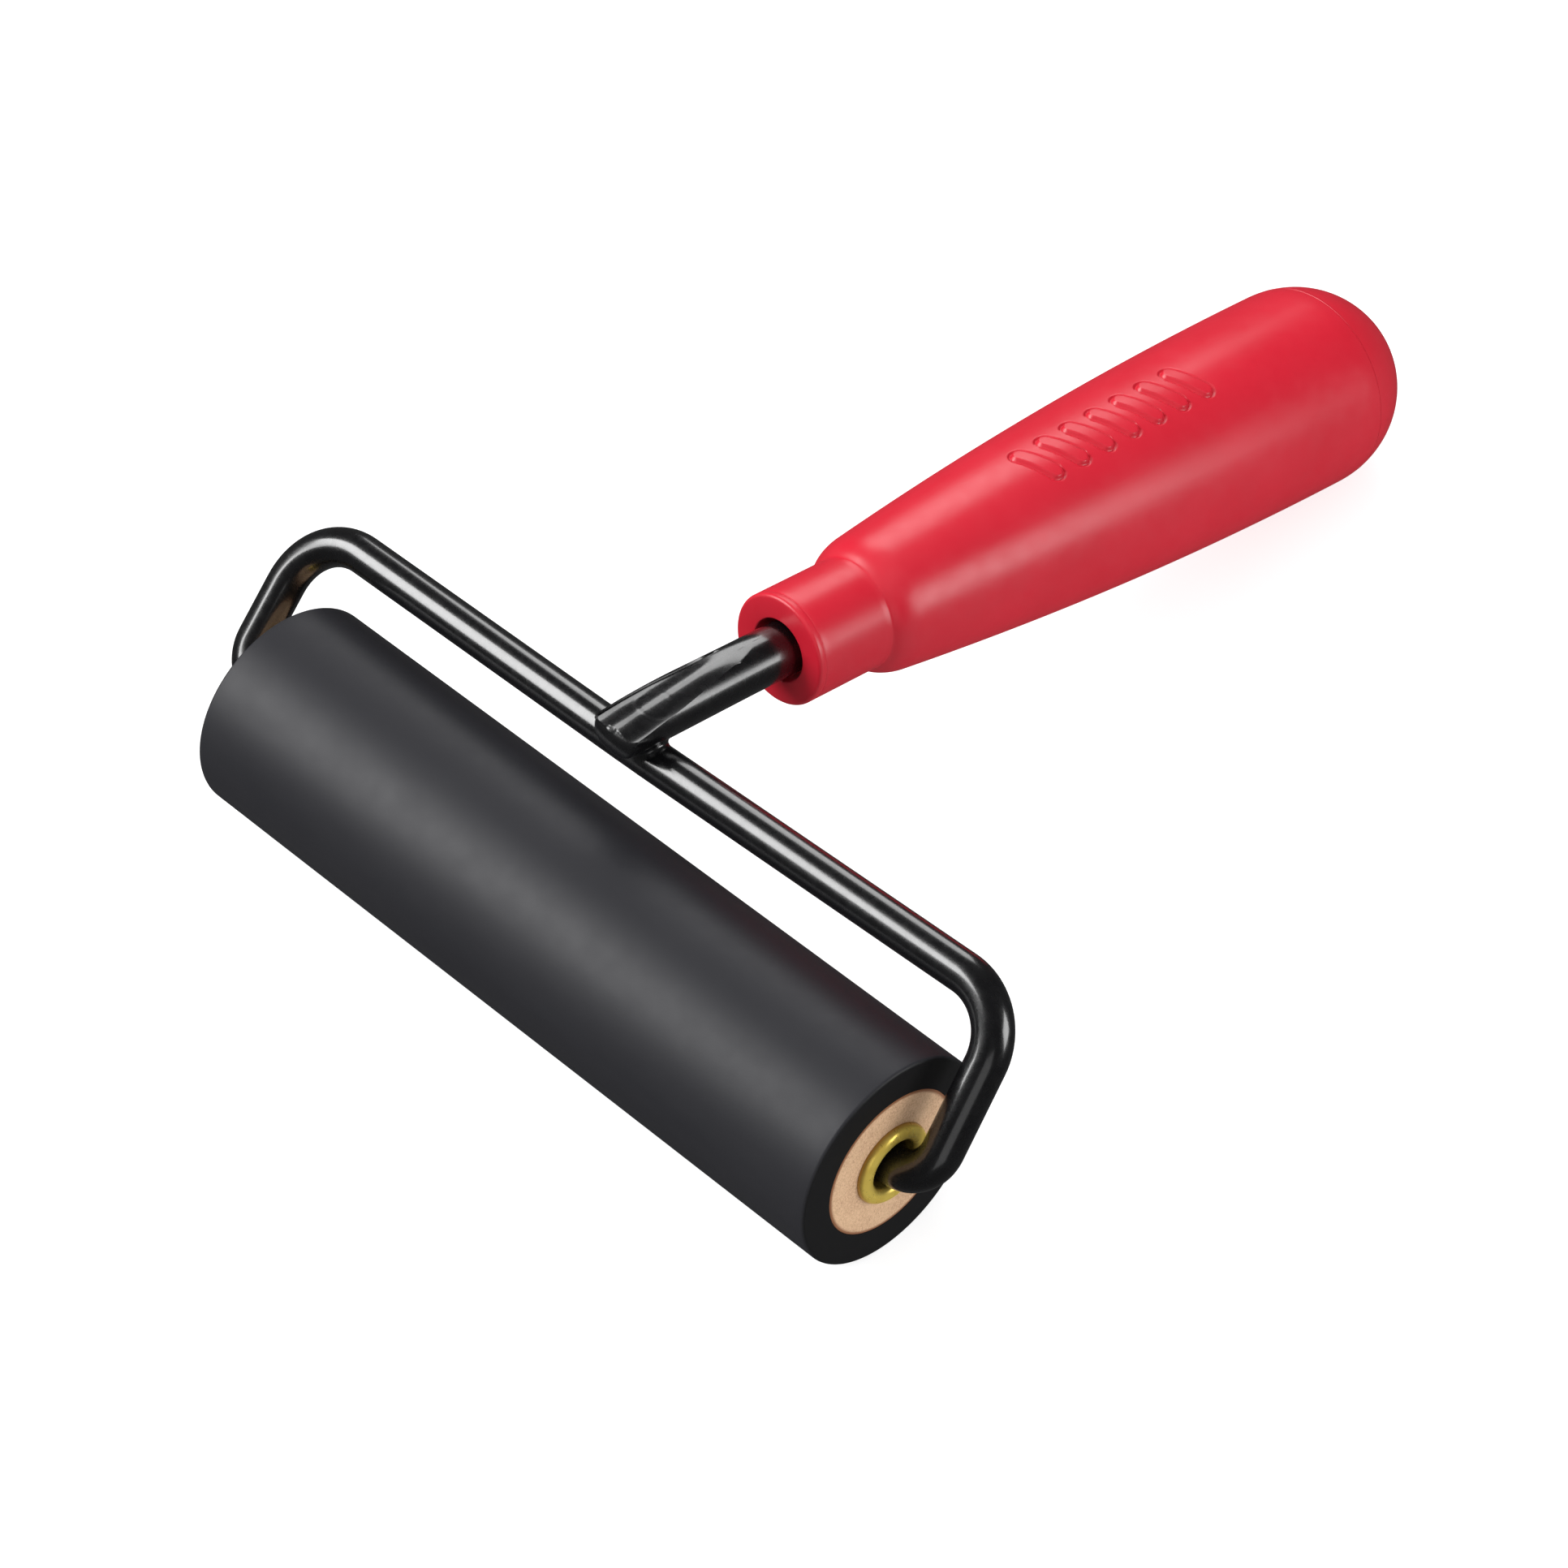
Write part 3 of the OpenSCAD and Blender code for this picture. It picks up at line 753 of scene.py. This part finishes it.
def handle_radius(s):
    """Radius of the grip from the shoulder to the butt."""
    s = np.asarray(s, float)
    swell = GRIP_R - (GRIP_R - SHOULDER_R) * ((DOME_S - s) / (DOME_S - SHOULDER_S)) ** 2
    t = np.clip((s - ROOT_S) / (SHOULDER_END - ROOT_S), 0, 1)
    rise = t ** 3 * (1 + ROOT_SOFT ** 2) / (t ** 2 + ROOT_SOFT ** 2)
    grip = COLLAR_R + (swell - COLLAR_R) * np.sqrt(1 - (1 - rise) ** 2)
    dome = GRIP_R * np.sqrt(np.clip(1 - ((s - DOME_S) / (BUTT_S - DOME_S)) ** 2, 0, 1))
    return np.where(s > DOME_S, dome, grip)


def motif_height(across, s):
    """Relief of the slanted bars at a place on the grip, with a sunk line round each."""
    along = s - MOTIF_S
    last = (BAR_COUNT - 1) // 2
    nearest = np.clip(np.round(along / BAR_PITCH), -last, last)
    off = along - nearest * BAR_PITCH
    p = np.cos(BAR_SLANT) * across + np.sin(BAR_SLANT) * off
    q = -np.sin(BAR_SLANT) * across + np.cos(BAR_SLANT) * off
    half = (BAR_LONG - BAR_WIDE) / 2
    edge = np.hypot(p - np.clip(p, -half, half), q) - BAR_WIDE / 2
    plateau = smooth_step(-edge / BAR_FLANK + 0.5)
    line = np.clip(1 - np.abs(edge - LINE_AWAY) / LINE_HALF, 0, 1)
    return BAR_RELIEF * plateau - LINE_DEPTH * smooth_step(line)


def socket_outline(end):
    """The socket from its end inside the handle to its mouth in the collar's face."""
    step = COLLAR_S + LIP_DEEP
    lip = arc(LIP_R + LIP_EDGE, COLLAR_S + LIP_EDGE, LIP_EDGE, 180, 270, 5)
    return [(SOCKET_R, end), (SOCKET_R, step), (LIP_R, step)] + lip


def collar_outline():
    """The collar's rim, the faint ring that the mould leaves behind it, and its side."""
    rim = arc(COLLAR_R - RIM_EDGE, COLLAR_S + RIM_EDGE, RIM_EDGE, -90, 0, 9)
    turn = np.linspace(0, 2 * math.pi, 9)
    ring = [(COLLAR_R - PARTING_DEEP * (1 - math.cos(t)) / 2,
             PARTING_S + PARTING_WIDE * t / (2 * math.pi)) for t in turn]
    side = [(COLLAR_R, s) for s in np.linspace(COLLAR_S + 3 * MM, ROOT_S, 12)[:-1]]
    return rim + ring + side


def grip_outline(end):
    """The grip from its root in the collar to the seam, with close steps at the motif."""
    motif_s = np.arange(MOTIF_S - MOTIF_HALF, MOTIF_S + MOTIF_HALF, 0.2 * MM)
    s = np.concatenate([
        np.linspace(ROOT_S, SHOULDER_END, 40),
        np.linspace(SHOULDER_END + 1 * MM, motif_s[0], 40)[:-1],
        motif_s,
        np.linspace(motif_s[-1], end, 36)[1:],
    ])
    return list(zip(handle_radius(s), s))


def build_handle_body():
    """The grip as one turned skin with the motif raised in it, and the socket in its collar."""
    end = SEAM_S - SEAM_GAP
    outline = np.array(socket_outline(end) + collar_outline() + grip_outline(end)
                       + [(GRIP_R - 1 * MM, end)])
    sides = 720
    angle = np.linspace(0, 2 * math.pi, sides, endpoint=False)
    radius = np.repeat(outline[:, :1], sides, axis=1)
    s = np.repeat(outline[:, 1:], sides, axis=1)
    on_grip = radius > COLLAR_R + 0.5 * MM
    turn = (angle - math.pi / 2 - MOTIF_TURN + math.pi) % (2 * math.pi) - math.pi
    radius = radius + np.where(on_grip, motif_height(turn * radius, s), 0)
    points = np.stack([radius * np.cos(angle), radius * np.sin(angle), s], axis=-1)
    body = grid_piece("handle_body_shell", points, handle_axes, sharp=40, round_u=True)
    ride_and_replace(body, FRAME_BODY, "handle_body", red_plastic)


def build_end_cap():
    """The domed butt on its spigot, with a fine line where it meets the grip."""
    dome_s = SEAM_S + (BUTT_S - SEAM_S) * np.sin(np.radians(np.linspace(0, 90, 40)))
    dome_r = handle_radius(dome_s)
    dome_r[-1] = 0
    spigot = [(0, SEAM_S - SPIGOT_LONG), (SPIGOT_R, SEAM_S - SPIGOT_LONG), (SPIGOT_R, SEAM_S)]
    seam = [(dome_r[0] - SEAM_INSET, SEAM_S), (dome_r[0], SEAM_S + SEAM_INSET_LONG)]
    outline = spigot + seam + list(zip(dome_r[1:], dome_s[1:]))
    cap = turned("handle_end_cap_dome", outline, handle_axes, closed=False)
    ride_and_replace(cap, FRAME_BODY, "handle_end_cap", red_plastic)


build_handle_body()
build_end_cap()


# ------------------------------------------------------------------- floor, light, camera

def build_floor():
    """A white light table, so the shadow on it stays faint. It doesn't show in reflections."""
    size = 6.0
    mesh = bpy.data.meshes.new("floor")
    corners = [(-size, -size, 0), (size, -size, 0), (size, size, 0), (-size, size, 0)]
    mesh.from_pydata(corners, [], [(0, 1, 2, 3)])
    mesh.materials.append(make_light_table())
    floor = bpy.data.objects.new("floor", mesh)
    floor.visible_glossy = False
    bpy.context.scene.collection.objects.link(floor)


# name, azimuth, elevation, distance in metres, width and height in degrees, roll, radiance
SOFTBOXES = (
    ("key", -46, 36.5, 1.6, 34, 34, -18, 8.4),
    ("back", -138, 40, 0.45, 32, 28, 0, 3.4),
    ("side", 116, 15, 0.8, 28, 27, 0, 5.2),
    ("kick", 45, 17, 1.6, 30, 30, 0, 0.6),
    ("fill", 0, 85, 1.6, 80, 80, 0, 1.6),
)
WITHOUT_HIGHLIGHT = "fill"
WORLD_STRENGTH = 0.05


def direction_from(azimuth, elevation):
    """The unit vector from the tool to a lamp or camera; azimuth 0 is -Y and 90 is +X."""
    a, e = math.radians(azimuth), math.radians(elevation)
    return Vector((math.sin(a) * math.cos(e), -math.cos(a) * math.cos(e), math.sin(e)))


def place_facing(thing, target, back, distance, roll):
    """Puts a lamp or camera at a distance from target, facing it, and rolled by degrees."""
    thing.location = target + back * distance
    thing.rotation_mode = "QUATERNION"
    level = (-back).to_track_quat("-Z", "Y")
    thing.rotation_quaternion = Quaternion(back, math.radians(roll)) @ level
    bpy.context.scene.collection.objects.link(thing)


def add_softbox(name, azimuth, elevation, distance, width, height, roll, radiance):
    """A rectangular studio light aimed at the middle of the tool."""
    light = bpy.data.lights.new(name, "AREA")
    light.shape = "RECTANGLE"
    light.size = 2 * distance * math.tan(math.radians(width / 2))
    light.size_y = 2 * distance * math.tan(math.radians(height / 2))
    light.energy = math.pi * light.size * light.size_y * radiance
    lamp = bpy.data.objects.new(name, light)
    lamp.visible_glossy = name != WITHOUT_HIGHLIGHT
    lamp.visible_camera = False
    middle = (cad_box[0] + cad_box[1]) / 2
    place_facing(lamp, middle, direction_from(azimuth, elevation), distance, roll)


def build_light():
    """The softboxes in a nearly dark studio."""
    world = bpy.data.worlds.new("studio")
    world.use_nodes = True
    background = world.node_tree.nodes["Background"].inputs
    background["Color"].default_value = (1, 1, 1, 1)
    background["Strength"].default_value = WORLD_STRENGTH
    bpy.context.scene.world = world
    for softbox in SOFTBOXES:
        add_softbox(*softbox)


CAMERA_AZIMUTH = 48.9
CAMERA_ELEVATION = 46.24
CAMERA_ROLL = -4.15
CAMERA_DISTANCE = 0.9364
CAMERA_LENS = 121.3
CAMERA_AIM = Vector((-0.0039, -0.0366, 0.0078))


def build_camera():
    """A long lens that looks down at the tool from its right."""
    data = bpy.data.cameras.new("camera")
    data.lens = CAMERA_LENS
    data.sensor_width = 36
    data.clip_start, data.clip_end = 0.05, 50
    camera = bpy.data.objects.new("camera", data)
    back = direction_from(CAMERA_AZIMUTH, CAMERA_ELEVATION)
    place_facing(camera, CAMERA_AIM, back, CAMERA_DISTANCE, CAMERA_ROLL)
    bpy.context.scene.camera = camera


build_floor()
build_light()
build_camera()
bpy.context.scene.view_settings.view_transform = "Standard"
